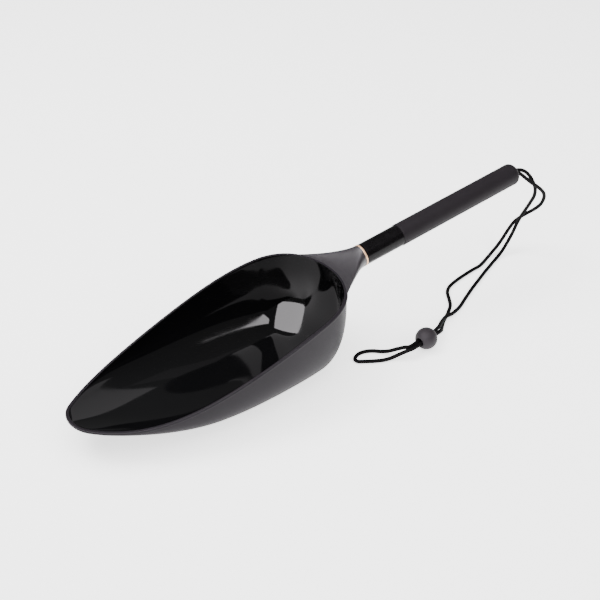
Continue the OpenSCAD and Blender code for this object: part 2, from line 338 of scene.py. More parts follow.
# The satin finishes: name, lowest and highest roughness, the grit's width and depth
# in millimetres, specular level, and how much paler than the bowl's outside it is painted (painted
# light on the web)
SATINS = [
    ("Satin ABS rim", 0.34, 0.46, 0.7, 0.012, 0.1, 1),
    ("Spark-eroded ABS", 0.42, 0.56, 0.6, 0.02, 0.1, 1),
    # The web is the same moulding as the bowl; its 1.05 tint is painted light on its face
    ("Satin ABS web", 0.36, 0.5, 1.6, 0.04, 0.8, 1.05),
]
INSIDE, RIM, OUTSIDE, WEB = range(4)  # the bowl's materials, gloss and then the satins
FILAMENTS = 8  # side by side on each strand of the cord


def gloss_abs():
    """ABS from a polished mould: near-black, mirror-like, with the faint waviness of sink marks."""
    material, tree, shader = finish("Gloss ABS", {"IOR": ABS_IOR})
    where = place(tree)
    colour = shades(tree, grain(tree, where, 40), settings().colours.inside, 0.85, 1.15)
    haze = remap(tree, grain(tree, where, 12, 4), 0.04, 0.08)
    sink = relief(tree, grain(tree, where, 30, 1), 0.025)
    dress(tree, shader, colour, haze, sink)
    return material


def satin_abs(name, low, high, grit_mm, depth_mm, sheen, painted_light_tint):
    """ABS from a spark-eroded mould: charcoal, with an even fine grit and a soft sheen.

    The grit is drawn several times coarser than a real mould's, so that it shows.
    """
    material, tree, shader = finish(name, {"IOR": ABS_IOR, "Specular IOR Level": sheen})
    where = place(tree)
    # A tint above 1 is painted light: the same ABS drawn paler, as if lit
    base = tint(settings().colours.outside, painted_light_tint)
    colour = shades(tree, grain(tree, where, 22, 3), base, 0.9, 1.12)
    grit = grain(tree, where, grit_mm, 3, 0.6)
    dress(tree, shader, colour, remap(tree, grit, low, high), relief(tree, grit, depth_mm))
    return material


def anodised_copper():
    """Turned aluminium, anodised copper: a pale metal with fine lathe lines round it."""
    material, tree, shader = finish("Copper anodised aluminium", {"Metallic": 0.6})
    where = place_on_handle(tree)
    colour = shades(tree, grain(tree, where, 6, 3), settings().colours.ring, 0.92, 1.05)
    # Lathe lines, much finer on real metal, are drawn 0.35 mm apart to show
    lines = bands(tree, where, 0.35, 0.4)
    dress(tree, shader, colour, remap(tree, lines, 0.32, 0.45, 0, 1), relief(tree, lines, 0.006))
    return material


def lacquered_tube():
    """A glass-fibre tube under clear lacquer: deep black, with faint wrapping ridges."""
    sockets = {"IOR": 1.5, "Specular IOR Level": 0.08, "Coat Weight": 0.12}
    material, tree, shader = finish("Lacquered tube", sockets)
    where = place_on_handle(tree)
    patch = grain(tree, where, 9, 3)
    colour = shades(tree, patch, settings().colours.tube, 0.8, 1.5)
    # Ridges 2.5 mm apart, such as wrapping tape leaves
    wraps = bands(tree, where, 2.5, 0.3)
    dress(tree, shader, colour, remap(tree, patch, 0.22, 0.34), relief(tree, wraps, 0.004))
    return material


def shrink_rubber():
    """Heat-shrunk rubber sleeve: matt charcoal, lightly mottled, with a pebbled skin."""
    material, tree, shader = finish("Shrink rubber", {"IOR": 1.5, "Specular IOR Level": 0.12})
    where = place_on_handle(tree)
    colour = shades(tree, grain(tree, where, 16, 4), settings().colours.grip, 0.85, 1.15)
    # The pebbles, finer on real rubber, are drawn 0.9 mm wide to show
    inputs = {"Vector": where, "Scale": per(0.9), "Randomness": 0.9}
    pebble = put(tree, "ShaderNodeTexVoronoi", inputs, feature="SMOOTH_F1").outputs["Distance"]
    dress(tree, shader, colour, remap(tree, pebble, 0.5, 0.66, 0, 1), relief(tree, pebble, 0.05))
    return material


def moulded_nylon():
    """Moulded nylon: black, slightly hazy, for the threaded insert and the plug in the butt."""
    material, tree, shader = finish("Moulded nylon", {"IOR": 1.53, "Specular IOR Level": 0.2})
    haze = grain(tree, place(tree), 1.5, 3)
    colour = shades(tree, haze, settings().colours.plug, 0.85, 1.2)
    dress(tree, shader, colour, remap(tree, haze, 0.35, 0.5), relief(tree, haze, 0.01))
    return material


def braided_polyester():
    """Braided polyester cord: dull black, with painted shade in the grooves and painted highlight on
    the raised strands, and fine filaments.
    """
    material, tree, shader = finish("Braided polyester", {"IOR": 1.55, "Specular IOR Level": 0.05})
    sizes = settings().lanyard
    raised = put(tree, "ShaderNodeAttribute", attribute_name="braid_height").outputs["Fac"]
    # Painted shade and highlight: the colour runs from 0.4 of the cord's black in the grooves to 1.4 of
    # it on the raised strands
    colour = shades(tree, raised, settings().colours.cord, 0.4, 1.4)
    # The filaments wind along the strands
    along = put(tree, "ShaderNodeAttribute", attribute_name="braid_along").outputs["Fac"]
    across = put(tree, "ShaderNodeAttribute", attribute_name="braid_round").outputs["Vector"]
    split = put(tree, "ShaderNodeSeparateXYZ", {0: across})
    turn = sums(tree, "ARCTAN2", split.outputs["Y"], split.outputs["X"])
    yarns = FILAMENTS * sizes.strands
    advance = sums(tree, "MULTIPLY", along, TURN / sizes.braid_lead)
    wind = sums(tree, "MULTIPLY", sums(tree, "ADD", turn, advance), yarns)
    yarn = sums(tree, "MULTIPLY_ADD", sums(tree, "SINE", wind), 0.5, 0.5)
    dress(tree, shader, colour, remap(tree, raised, 0.75, 0.55, 0, 1), relief(tree, yarn, 0.02))
    return material


def matt_bead():
    """Tumbled ABS bead: matt grey with a slight violet cast and a faint speckle."""
    material, tree, shader = finish("Tumbled ABS", {"IOR": ABS_IOR, "Specular IOR Level": 0.25})
    speckle = grain(tree, place(tree), 1.2, 4, 0.7)
    colour = shades(tree, speckle, settings().colours.bead, 0.8, 1.2)
    dress(tree, shader, colour, remap(tree, speckle, 0.55, 0.7), relief(tree, speckle, 0.03))
    return material


def zinc_steel():
    """Zinc-plated steel: cool silver, slightly spangled."""
    material, tree, shader = finish("Zinc-plated steel", {"Metallic": 1.0})
    spangle = grain(tree, place_on_handle(tree), 0.8, 3)
    colour = shades(tree, spangle, settings().colours.steel, 0.85, 1.05)
    dress(tree, shader, colour, remap(tree, spangle, 0.22, 0.38), relief(tree, spangle, 0.004))
    return material


def studio_floor():
    """A matt light table that glows evenly."""
    material, tree, shader = finish("Light table", {"Roughness": 0.9, "Emission Strength": 1.8})
    base = (*settings().colours.floor, 1)
    shader.inputs["Base Color"].default_value = base
    shader.inputs["Emission Color"].default_value = base
    tree.links.new(relief(tree, grain(tree, place(tree), 2), 0.01), shader.inputs["Normal"])
    return material


def softbox(name, brightness):
    """The lit cloth of a softbox."""
    material = bpy.data.materials.new(name)
    material.use_nodes = True
    tree = material.node_tree
    tree.nodes.clear()
    cloth = put(tree, "ShaderNodeEmission", {"Color": (1, 0.97, 1, 1), "Strength": brightness})
    put(tree, "ShaderNodeOutputMaterial", {"Surface": cloth.outputs[0]})
    return material


# ---- meshes


def add_piece(name, mesh):
    """A new object for a mesh, at the origin."""
    piece = bpy.data.objects.new(name, mesh)
    bpy.context.scene.collection.objects.link(piece)
    return piece


def tidy(mesh, sharp=35):
    """Merges doubles, points the faces outwards and smooths the mesh up to that angle."""
    work = bmesh.new()
    work.from_mesh(mesh)
    bmesh.ops.remove_doubles(work, verts=work.verts, dist=MERGE)
    bmesh.ops.recalc_face_normals(work, faces=work.faces)
    work.to_mesh(mesh)
    work.free()
    mesh.shade_smooth()
    mesh.set_sharp_from_angle(angle=math.radians(sharp))


def build(name, points, faces, materials, indices=None, sharp=35):
    """A tidy mesh object from points and faces."""
    mesh = bpy.data.meshes.new(name)
    mesh.from_pydata([tuple(p) for p in points], [], faces)
    for material in materials:
        mesh.materials.append(material)
    if indices:
        mesh.polygons.foreach_set("material_index", indices)
    tidy(mesh, sharp)
    return add_piece(name, mesh)


def sheet(name, corners, material):
    """A flat object with one face."""
    mesh = bpy.data.meshes.new(name)
    mesh.from_pydata(corners, [], [tuple(range(len(corners)))])
    mesh.materials.append(material)
    return add_piece(name, mesh)


def grid_faces(start, rows, cols, wrap=False):
    """Quads over a grid of points, whose rows may close on themselves."""
    last = cols if wrap else cols - 1
    return [
        (
            start + i * cols + j,
            start + i * cols + (j + 1) % cols,
            start + (i + 1) * cols + (j + 1) % cols,
            start + (i + 1) * cols + j,
        )
        for i in range(rows - 1)
        for j in range(last)
    ]


def lathe(name, outline, material, turn=ON_AXIS, segments=128):
    """A closed outline of (radius, height) points in millimetres, spun about turn's Z axis."""
    points = []
    for radius, height in outline:
        for k in range(segments):
            angle = TURN * k / segments
            local = Vector((radius * math.cos(angle), radius * math.sin(angle), height)) * MM
            points.append(turn @ local)
    rows = len(outline)
    faces = grid_faces(0, rows, segments, wrap=True)
    last = (rows - 1) * segments
    # The last ring of points joins the first
    faces += [(last + k, last + (k + 1) % segments, (k + 1) % segments, k) for k in range(segments)]
    return build(name, points, faces, [material])


def arc(centre_r, centre_z, radius, start, stop, steps=8):
    """Points of an arc in an outline, angles in degrees from straight out."""
    angles = [math.radians(start + (stop - start) * k / steps) for k in range(steps + 1)]
    return [(centre_r + radius * math.cos(a), centre_z + radius * math.sin(a)) for a in angles]


def grown(name, start, tree, values):
    """Runs a node tree on a start object, and returns the result as a plain mesh object."""
    modifier = start.modifiers.new("Grow", "NODES")
    modifier.node_group = tree
    for item in tree.interface.items_tree:
        if item.item_type == "SOCKET" and item.in_out == "INPUT" and item.name in values:
            modifier[item.identifier] = values[item.name]
    bpy.context.view_layer.update()
    seen = start.evaluated_get(bpy.context.evaluated_depsgraph_get())
    mesh = bpy.data.meshes.new_from_object(seen)
    mesh.name = name
    start.modifiers.remove(modifier)
    bpy.data.objects.remove(start)
    return add_piece(name, mesh)


def growing_tree(name, inputs):
    """An empty geometry tree with those named inputs. Returns the tree and its input node."""
    tree = bpy.data.node_groups.new(name, "GeometryNodeTree")
    tree.interface.new_socket("Geometry", in_out="INPUT", socket_type="NodeSocketGeometry")
    tree.interface.new_socket("Geometry", in_out="OUTPUT", socket_type="NodeSocketGeometry")
    for socket, kind in inputs.items():
        tree.interface.new_socket(socket, in_out="INPUT", socket_type="NodeSocket" + kind)
    return tree, put(tree, "NodeGroupInput").outputs


def end_tree(tree, geometry, material):
    """Realizes the instances, sets the material and hands the result out."""
    real = put(tree, "GeometryNodeRealizeInstances", {"Geometry": geometry}).outputs[0]
    painted = put(tree, "GeometryNodeSetMaterial", {"Geometry": real, "Material": material})
    put(tree, "NodeGroupOutput", {"Geometry": painted.outputs[0]})


# ---- the bowl's shape, by the same rules as the CAD model's


SQUARE_SHARE = 0.43  # share of the bowl's length over which its section squares up
RISE_POWER = 1.9  # how sharply the hull rises to the tip
WEB_CROWD = 1.5  # above 1, the web's rows crowd towards the bowl
WEB_CLIMB = 1.6  # how late the web's top rises from the bowl to the neck
WEB_CURL = 1.2  # how much sooner its underside rises
WEB_WAIST = 1.2  # how soon the web narrows to the neck
WEB_TUCK = 0.8  # how much sooner its underside narrows


class Hull:
    """The bowl's outline, heights and sections at any place along it."""

    def __init__(self, sizes):
        self.s = s = sizes
        self.tip_c = s.tip_r
        self.back_c = s.bowl_l - s.back_r
        near, far = s.side_r - s.tip_r, s.side_r - s.back_r
        gap = self.back_c - self.tip_c
        self.side_x = self.tip_c + (near**2 - far**2 + gap**2) / (2 * gap)
        self.side_y = -math.sqrt(near**2 - (self.side_x - self.tip_c) ** 2)
        self.tip_slope = (self.tip_c - self.side_x) / near
        self.back_slope = (self.back_c - self.side_x) / far

    def pull(self, x):
        """How much narrower the sides are than their arcs."""
        return 1 - self.s.side_pull * math.sin(math.pi * x / self.s.bowl_l)

    def half_w(self, x, inset):
        """Half the width of the outline, inset by that much."""
        s = self.s
        if x < self.tip_c + (s.tip_r - inset) * self.tip_slope:
            half = math.sqrt(max(0, (s.tip_r - inset) ** 2 - (x - self.tip_c) ** 2))
        elif x < self.back_c + (s.back_r - inset) * self.back_slope:
            half = self.side_y + math.sqrt((s.side_r - inset) ** 2 - (x - self.side_x) ** 2)
        else:
            half = math.sqrt(max(0, (s.back_r - inset) ** 2 - (x - self.back_c) ** 2))
        return self.pull(x) * half

    def rim_z(self, x):
        """Height of the rim."""
        s = self.s
        u = x / s.bowl_l
        level = s.rim_tip_h + (s.rim_back_h - s.rim_tip_h) * u
        return level - s.rim_sag * 4 * u * (1 - u) + s.rim_swing * u * (1 - u) * (2 * u - 1)

    def keel_z(self, x):
        """Height of the hull's lowest line."""
        s = self.s
        climb = max(0, 1 - x / s.bowl_l / s.rise_share)
        return (s.rim_tip_h - s.tip_depth) * climb**RISE_POWER

    def section(self, x, inset, down, floor_z, facets):
        """Points from the +Y rim under the keel to the -Y rim."""
        s = self.s
        t = min(1, x / s.bowl_l / SQUARE_SHARE)
        squareness = s.tip_square + (s.back_square - s.tip_square) * t * t * (3 - 2 * t)
        past = min(1, max(0, (x - s.bowl_l + s.back_round) / (s.back_round - inset)))
        top = self.rim_z(x) - down
        depth = (top - self.keel_z(x) - floor_z) * math.sqrt(1 - past**2)
        half = self.half_w(x, inset)
        points = []
        for j in range(facets + 1):
            angle = math.pi * j / facets
            c, d = abs(math.cos(angle)), abs(math.sin(angle))
            reach = (c**squareness + d**squareness) ** (-1 / squareness)
            side = -1 if j * 2 > facets else 1
            points.append((TIP_X + x, side * half * c * reach, max(0, top - depth * d * reach)))
        return points

    def station(self, i, inset):
        """Place of a cross-section, closer together at both ends."""
        share = (1 - math.cos(math.pi * i / self.s.stations)) / 2
        return inset + (self.s.bowl_l - 2 * inset) * share

    def rim_row(self, inset, down):
        """A row of points round the rim: +Y side tip to back, then -Y side back to tip."""
        places = [self.station(i, inset) for i in range(self.s.stations + 1)]
        there = [(TIP_X + x, self.half_w(x, inset), self.rim_z(x) - down) for x in places]
        return there + [(x, -y, z) for x, y, z in reversed(there)]

    def web_point(self, angle, t):
        """A point of the web, from the bowl's back wall (t = 0) to the neck's end (t = 1)."""
        s = self.s
        drop = max(0, -math.sin(angle)) * s.web_d
        turn = s.web_half * math.cos(angle)
        reach = s.back_r - s.lip_out - s.wall / 2
        reach -= s.back_round * (1 - math.sqrt(1 - (drop / s.rim_back_h) ** 2))
        x = self.back_c + reach * math.cos(turn)
        side = reach * math.sin(turn) * self.pull(x)
        root = Vector((TIP_X + x, side, self.rim_z(x) - AIR - drop))
        end = ON_AXIS @ Vector((0, 0, -settings().handle.ring_t / 2 - AIR))
        up = Vector((-AXIS.z, 0, AXIS.x))
        tip = end + s.neck_r * (math.cos(angle) * Vector((0, 1, 0)) + math.sin(angle) * up)
        under = max(0, -math.sin(angle))
        lift = t ** (WEB_CLIMB - WEB_CURL * math.sqrt(under))
        draw = 1 - (1 - t) ** (WEB_WAIST + WEB_TUCK * under)
        ends = zip(root, tip, (t, draw, lift))
        return Vector([start + (stop - start) * share for start, stop, share in ends])


# Rows of the lip, from the inside over the top to the outside: inset and depth in millimetres
LIP_TOP = [(3.28, 0.14), (2.95, 0), (1.3, 0), (0.75, 0.06), (0.3, 0.36), (0, 1)]
LIP_SIDE = [(0, 1.9), (0.12, 2.35), (0.5, 2.7)]
WALL_TOP = 2.9  # where the outer wall starts, in millimetres below the rim
INNER_TOP = 0.5  # where the inner wall starts, in millimetres below the rim
WEB_STEPS = 48  # rows of the web from the bowl to the neck's end
WEB_ROUND = 112  # points round the web


def bowl_mesh():
    """Points, faces and material indices of the bowl."""
    s = settings().bowl
    hull = Hull(s)
    rows, cols = s.stations + 1, s.facets + 1
    places = range(rows)
    points = []
    walls = (s.lip_out + s.wall, INNER_TOP * MM, s.wall), (s.lip_out, WALL_TOP * MM, -s.land)
    for inset, down, floor_z in walls:
        for i in places:
            points += hull.section(hull.station(i, inset), inset, down, floor_z, s.facets)
    faces = grid_faces(0, rows, cols)
    indices = [INSIDE] * len(faces)
    outer = grid_faces(rows * cols, rows, cols)
    faces += outer
    indices += [OUTSIDE] * len(outer)

    def edge(start):
        """Indices of a grid's rim points, in a lip row's order."""
        there = [start + i * cols for i in places]
        return there + [start + i * cols + cols - 1 for i in reversed(places)]

    chain = [edge(0)]
    for inset, down in LIP_TOP + LIP_SIDE:
        start = len(points)
        row = hull.rim_row(inset * MM, down * MM)
        points += row
        chain.append(list(range(start, start + len(row))))
    chain.append(edge(rows * cols))
    for step, (near, far) in enumerate(zip(chain, chain[1:])):
        size = len(near)
        faces += [(near[k], near[(k + 1) % size], far[(k + 1) % size], far[k]) for k in range(size)]
        indices += [RIM if step <= len(LIP_TOP) else OUTSIDE] * size
    return points, faces, indices


def web_mesh():
    """Points and faces of the web and neck that carry the handle, a closed solid."""
    hull = Hull(settings().bowl)
    points = [
        hull.web_point(TURN * k / WEB_ROUND, (i / WEB_STEPS) ** WEB_CROWD)
        for i in range(WEB_STEPS + 1)
        for k in range(WEB_ROUND)
    ]
    faces = grid_faces(0, WEB_STEPS + 1, WEB_ROUND, wrap=True)
    half = WEB_ROUND // 2
    # The root's cap runs in strips from the top row to the bottom row
    for k in range(half):
        strip = [k, k + 1, (WEB_ROUND - k - 1) % WEB_ROUND, (WEB_ROUND - k) % WEB_ROUND]
        faces.append(tuple(dict.fromkeys(strip)))
    faces.append(tuple(range(WEB_STEPS * WEB_ROUND, (WEB_STEPS + 1) * WEB_ROUND)))
    return points, faces


# ---- what grows


def cord_tree():
    """Sweeps a braided cord along a chain of points."""
    numbers = dict.fromkeys(("Diameter", "Lead", "Strands", "Groove", "Step"), "Float")
    tree, given = growing_tree("Braided cord", {**numbers, "Sides": "Int", "Finish": "Material"})
    line = put(tree, "GeometryNodeMeshToCurve", {"Mesh": given["Geometry"]}).outputs[0]
    inputs = {"Curve": line}
    line = put(tree, "GeometryNodeCurveSplineType", inputs, spline_type="CATMULL_ROM").outputs[0]
    inputs = {"Geometry": line, "Resolution": 12}
    line = put(tree, "GeometryNodeSetSplineResolution", inputs).outputs[0]
    inputs = {"Curve": line, "Length": given["Step"]}
    line = put(tree, "GeometryNodeResampleCurve", inputs, mode="LENGTH").outputs[0]
    reach = put(tree, "GeometryNodeSplineParameter").outputs["Length"]
    inputs = {"Geometry": line, "Name": "braid_along", "Value": reach}
    line = put(tree, "GeometryNodeStoreNamedAttribute", inputs, data_type="FLOAT").outputs[0]
    radius = sums(tree, "MULTIPLY", given["Diameter"], 0.5)
    inputs = {"Resolution": given["Sides"], "Radius": radius}
    circle = put(tree, "GeometryNodeCurvePrimitiveCircle", inputs).outputs[0]
    spot = put(tree, "GeometryNodeInputPosition").outputs[0]
    inputs = {"Geometry": circle, "Name": "braid_round", "Value": spot}
    stored = put(tree, "GeometryNodeStoreNamedAttribute", inputs, data_type="FLOAT_VECTOR")
    inputs = {"Curve": line, "Profile Curve": stored.outputs[0], "Fill Caps": True}
    tube = put(tree, "GeometryNodeCurveToMesh", inputs).outputs[0]

    along, round_at = (
        put(tree, "GeometryNodeInputNamedAttribute", {"Name": name}, data_type=kind).outputs[0]
        for name, kind in (("braid_along", "FLOAT"), ("braid_round", "FLOAT_VECTOR"))
    )
    split = put(tree, "ShaderNodeSeparateXYZ", {0: round_at})
    angle = sums(tree, "ARCTAN2", split.outputs["Y"], split.outputs["X"])
    turns, leads = (
        sums(tree, "MULTIPLY", sums(tree, "DIVIDE", value, whole), given["Strands"])
        for value, whole in ((angle, TURN), (along, given["Lead"]))
    )
    right = sums(tree, "ADD", turns, leads)
    left = sums(tree, "SUBTRACT", turns, leads)
    # Where the two whole numbers add up to an even one, the right-hand strand lies on top
    cell = sums(tree, "ADD", sums(tree, "FLOOR", right), sums(tree, "FLOOR", left))
    odd = sums(tree, "FLOORED_MODULO", cell, 2)
    arches = [
        sums(tree, "SINE", sums(tree, "MULTIPLY", sums(tree, "FRACT", way), math.pi))
        for way in (right, left)
    ]
    powers = [sums(tree, "MULTIPLY_ADD", odd, rise, start) for rise, start in ((-0.5, 0.8), (0.5, 0.3))]
    shaped = [sums(tree, "POWER", arch, power) for arch, power in zip(arches, powers)]
    height = sums(tree, "MULTIPLY", *shaped)
    inputs = {"Geometry": tube, "Name": "braid_height", "Value": height}
    tube = put(tree, "GeometryNodeStoreNamedAttribute", inputs, data_type="FLOAT").outputs[0]
    sunk = sums(tree, "MULTIPLY", sums(tree, "SUBTRACT", height, 1), given["Groove"])
    normal = put(tree, "GeometryNodeInputNormal").outputs[0]
    push = put(tree, "ShaderNodeVectorMath", {0: normal, "Scale": sunk}, operation="SCALE").outputs[0]
    tube = put(tree, "GeometryNodeSetPosition", {"Geometry": tube, "Offset": push}).outputs[0]
    tube = put(tree, "GeometryNodeSetShadeSmooth", {"Geometry": tube}).outputs[0]
    end_tree(tree, tube, given["Finish"])
    return tree


def thread_tree():
    """A threaded rod along Z from 0, from a flat grid whose X becomes height and Y the angle."""
    numbers = dict.fromkeys(("Length", "Crest", "Root", "Pitch", "Chamfer"), "Float")
    others = {"Rows": "Int", "Columns": "Int", "Base": "Vector", "Tilt": "Rotation"}
    tree, given = growing_tree("Threaded rod", {**numbers, **others, "Finish": "Material"})
    inputs = {"Size X": 1.0, "Size Y": 1.0, "Vertices X": given["Rows"], "Vertices Y": given["Columns"]}
    flat_grid = put(tree, "GeometryNodeMeshGrid", inputs).outputs[0]
    split = put(tree, "ShaderNodeSeparateXYZ", {0: put(tree, "GeometryNodeInputPosition").outputs[0]})
    step = sums(tree, "DIVIDE", given["Length"], sums(tree, "SUBTRACT", given["Rows"], 3))
    span = sums(tree, "MULTIPLY_ADD", step, 2, given["Length"])
    spread = sums(tree, "MULTIPLY", sums(tree, "ADD", split.outputs[0], 0.5), span)
    raw = sums(tree, "SUBTRACT", spread, step)
    height = sums(tree, "MINIMUM", sums(tree, "MAXIMUM", raw, 0), given["Length"])
    angle = sums(tree, "MULTIPLY", split.outputs[1], TURN)
    # A sixty-degree thread: the radius runs up and down once in each pitch
    pitches = sums(tree, "DIVIDE", height, given["Pitch"])
    phase = sums(tree, "SUBTRACT", pitches, sums(tree, "DIVIDE", angle, TURN))
    wave = sums(tree, "PINGPONG", sums(tree, "MULTIPLY", phase, 2), 1)
    flat = remap(tree, wave, 0, 1, 0.12, 0.88)
    depth = sums(tree, "SUBTRACT", given["Crest"], given["Root"])
    radius = sums(tree, "MULTIPLY_ADD", flat, depth, given["Root"])
    # Both ends are chamfered, and the first and last rows close them
    to_end = sums(tree, "MINIMUM", height, sums(tree, "SUBTRACT", given["Length"], height))
    cone = sums(tree, "ADD", sums(tree, "SUBTRACT", given["Crest"], given["Chamfer"]), to_end)
    radius = sums(tree, "MINIMUM", radius, cone)
    outside = sums(tree, "ABSOLUTE", sums(tree, "SUBTRACT", raw, height))
    shown = sums(tree, "LESS_THAN", outside, sums(tree, "MULTIPLY", step, 0.5))
    radius = sums(tree, "MULTIPLY", radius, shown)
    inputs = {
        0: sums(tree, "MULTIPLY", sums(tree, "COSINE", angle), radius),
        1: sums(tree, "MULTIPLY", sums(tree, "SINE", angle), radius),
        2: height,
    }
    spot = put(tree, "ShaderNodeCombineXYZ", inputs).outputs[0]
    rod = put(tree, "GeometryNodeSetPosition", {"Geometry": flat_grid, "Position": spot}).outputs[0]
    inputs = {"Geometry": rod, "Distance": MERGE}
    rod = put(tree, "GeometryNodeMergeByDistance", inputs).outputs[0]
    inputs = {"Geometry": rod, "Translation": given["Base"], "Rotation": given["Tilt"]}
    rod = put(tree, "GeometryNodeTransform", inputs).outputs[0]
    end_tree(tree, rod, given["Finish"])
    return tree


# ---- operators


class SCOOP_OT_camera(bpy.types.Operator):
    """Sets up the camera"""

    bl_idname = "scoop.camera"
    bl_label = "Camera"

    def execute(self, context):
        data = bpy.data.cameras.new("Camera")
        data.sensor_width, data.lens = 36, 61.77  # in millimetres
        camera = bpy.data.objects.new("Camera", data)
        context.scene.collection.objects.link(camera)
        heading, climb, roll = math.radians(32.651), math.radians(36.528), math.radians(-1.744)
        target = Vector((0.01623, 0.04652, 0.02))
        distance = 1.05607
        flat = math.cos(climb)
        back = Vector((-math.sin(heading) * flat, -math.cos(heading) * flat, math.sin(climb)))
        right = Vector((math.cos(heading), -math.sin(heading), 0))
        level = Matrix((right, back.cross(right), back)).transposed()
        spin = Matrix.Rotation(roll, 3, "Z")
        camera.matrix_world = Matrix.Translation(target + back * distance) @ (level @ spin).to_4x4()
        context.scene.camera = camera
        return {"FINISHED"}


class SCOOP_OT_lanyard(bpy.types.Operator):
    """Braids the lanyard's cord, turns its bead and gives the knot the cord's finish"""

    bl_idname = "scoop.lanyard"
    bl_label = "Lanyard"

    def execute(self, context):
        sizes = settings().lanyard
        cloth = braided_polyester()
        path = [tuple(c * MM for c in point) for point in ROUTE]
        chain = bpy.data.meshes.new("Route")
        chain.from_pydata(path, [(i, i + 1) for i in range(len(path) - 1)], [])
        values = {
            "Diameter": sizes.cord_d,
            "Lead": sizes.braid_lead,
            "Strands": float(sizes.strands),
            "Groove": sizes.groove,
            "Step": 0.5 * MM,
            "Sides": 24,
            "Finish": cloth,
        }
        cord = grown("braided_cord", add_piece("Route", chain), cord_tree(), values)
        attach(cord, "lanyard")
        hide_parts("lanyard_cord")

        knot = FRAME["nodes"]["cord_knot"]
        knot.data.materials.clear()
        knot.data.materials.append(cloth)

        low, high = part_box("cord_bead")
        middle = Vector(((low.x + high.x) / 2, (low.y + high.y) / 2, sizes.bead_d / 2))
        heading = Matrix.Rotation(sizes.bead_turn, 4, "Z") @ Matrix.Rotation(math.pi / 2, 4, "Y")
        radius, bore, edge = sizes.bead_d / 2 / MM, sizes.bore_r / MM, 0.5
        end = math.degrees(math.acos((bore + 2 * edge) / radius))
        flat = radius * math.sin(math.radians(end)) - 0.1
        outline = arc(0, 0, radius, -end, end, 64)
        outline += arc(bore + edge, flat - edge, edge, 90, 180, 5)
        outline += arc(bore + edge, edge - flat, edge, 180, 270, 5)
        bead = lathe("wrist_bead", outline, matt_bead(), Matrix.Translation(middle) @ heading, 96)
        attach(bead, "bead")
        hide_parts("cord_bead")

        return {"FINISHED"}


class SCOOP_OT_bowl(bpy.types.Operator):
    """Moulds the bowl and its neck"""

    bl_idname = "scoop.bowl"
    bl_label = "Bowl and Neck"

    def execute(self, context):
        points, faces, indices = bowl_mesh()
        web_points, web_faces = web_mesh()
        base = len(points)
        faces += [tuple(base + v for v in face) for face in web_faces]
        indices += [WEB] * len(web_faces)
        finishes = [gloss_abs(), *(satin_abs(*look) for look in SATINS)]
        bowl = build("bowl_and_neck", points + web_points, faces, finishes, indices, 30)
        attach(bowl, "scoop")
        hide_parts("scoop_bowl")
        return {"FINISHED"}


class SCOOP_OT_stud(bpy.types.Operator):
    """Rolls the threaded stud that joins handle and neck"""

    bl_idname = "scoop.stud"
    bl_label = "Threaded Stud"

    def execute(self, context):
        s = settings().handle
        start = -s.ring_t / 2 - s.stud_in
        stop = s.ring_t / 2 + AIR + s.stud_out
        seed = add_piece("Seed", bpy.data.meshes.new("Seed"))
        values = {
            "Length": stop - start,
            "Crest": s.thread_r,
            "Root": s.root_r,
            "Pitch": s.pitch,
            "Chamfer": 0.9 * MM,
            "Rows": 213,
            "Columns": 65,
            "Base": ON_AXIS @ Vector((0, 0, start)),
            "Tilt": ALONG.to_euler(),
            "Finish": zinc_steel(),
        }
        stud = grown("rolled_stud", seed, thread_tree(), values)
        tidy(stud.data, 25)
        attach(stud, "scoop")
        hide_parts("thread_stud")
        return {"FINISHED"}


class SCOOP_OT_ring(bpy.types.Operator):
    """Turns the copper trim ring"""

    bl_idname = "scoop.ring"
    bl_label = "Trim Ring"

    def execute(self, context):
        s = settings().handle
        radius, half = s.ring_r / MM, s.ring_t / MM / 2
        clearance, edge = 1.25, 0.35
        bore = s.thread_r / MM + clearance
        outline = [(bore, -half), (radius - edge, -half)]
        outline += arc(radius - edge, edge - half, edge, -90, 0)
        outline += arc(radius - edge, half - edge, edge, 0, 90)
        outline += [(bore, half)]
        ring = lathe("turned_ring", outline, anodised_copper())
        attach(ring, "collar")
        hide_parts("trim_ring")
        return {"FINISHED"}


